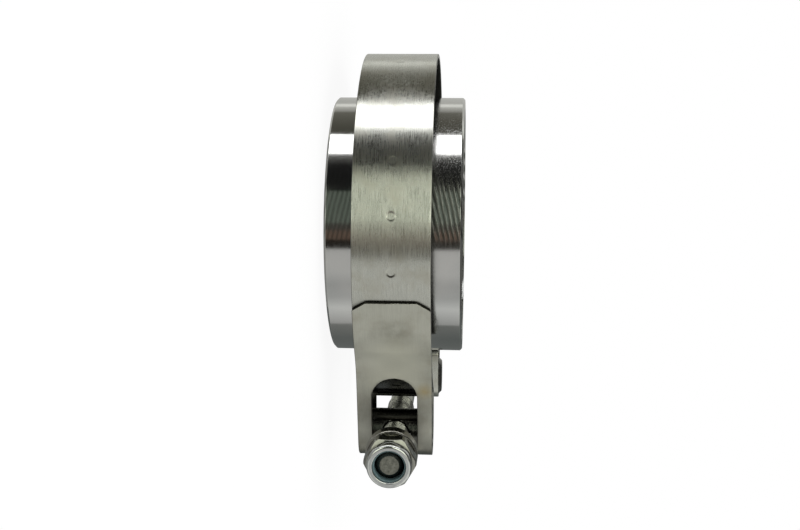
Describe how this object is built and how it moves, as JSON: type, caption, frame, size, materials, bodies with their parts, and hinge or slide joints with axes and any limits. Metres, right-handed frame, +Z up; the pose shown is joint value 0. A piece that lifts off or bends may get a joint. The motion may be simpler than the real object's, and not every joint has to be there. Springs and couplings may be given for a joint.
{
  "type": "v band clamp with weld flanges",
  "caption": "Stainless V-band clamp closed on a male and female pair of weld flanges for an exhaust pipe joint, drawn up by a swing-out T-bolt and a lock nut.",
  "frame": {"origin": "centre of the lower flange's weld face, on the ring's axis", "axes": "+Z up along the ring's axis, +X towards the clamp's gap and latch, -Y the way the bolt's nut points"},
  "size_m": [0.1142, 0.1088, 0.038],
  "materials": {
    "band_steel": "satin, fine lines along the strap",
    "retainer_steel": "dull pressed sheet",
    "flange_steel": "bright turned",
    "pin_steel": "bright turned",
    "bolt_steel": "satin, rolled thread",
    "collar_steel": "turned",
    "nut_steel": "satin with a bright rolled collar",
    "nylon": "plain nylon"
  },
  "bodies": {
    "clamp": {"band": "band_steel", "v_retainer_1": "retainer_steel", "v_retainer_2": "retainer_steel", "v_retainer_3": "retainer_steel", "lower_flange": "flange_steel", "upper_flange": "flange_steel", "trunnion": "pin_steel"},
    "bolt": {"t_bolt": "bolt_steel"},
    "collar": {"collar": "collar_steel"},
    "nut": {"lock_nut": "nut_steel", "nylon_insert": "nylon"}
  },
  "joints": [
    {"name": "bolt_swing", "type": "hinge", "parent": "clamp", "child": "bolt", "pos_m": [0.056, 0.0274, 0.01945], "axis": [0, 0, 1], "range_deg": [0, 100]},
    {"name": "nut_travel", "type": "slide", "parent": "bolt", "child": "collar", "axis": [0, -1, 0], "range_m": [-0.0096, 0.006]},
    {"name": "nut_spin", "type": "hinge", "parent": "collar", "child": "nut", "pos_m": [0.056, -0.0578, 0.01945], "axis": [0, -1, 0], "range_deg": [-2764, 1727]}
  ],
  "couplings": [
    {"joint": "nut_travel", "follows": "nut_spin", "m_per_rad": 0.00019894}
  ]
}
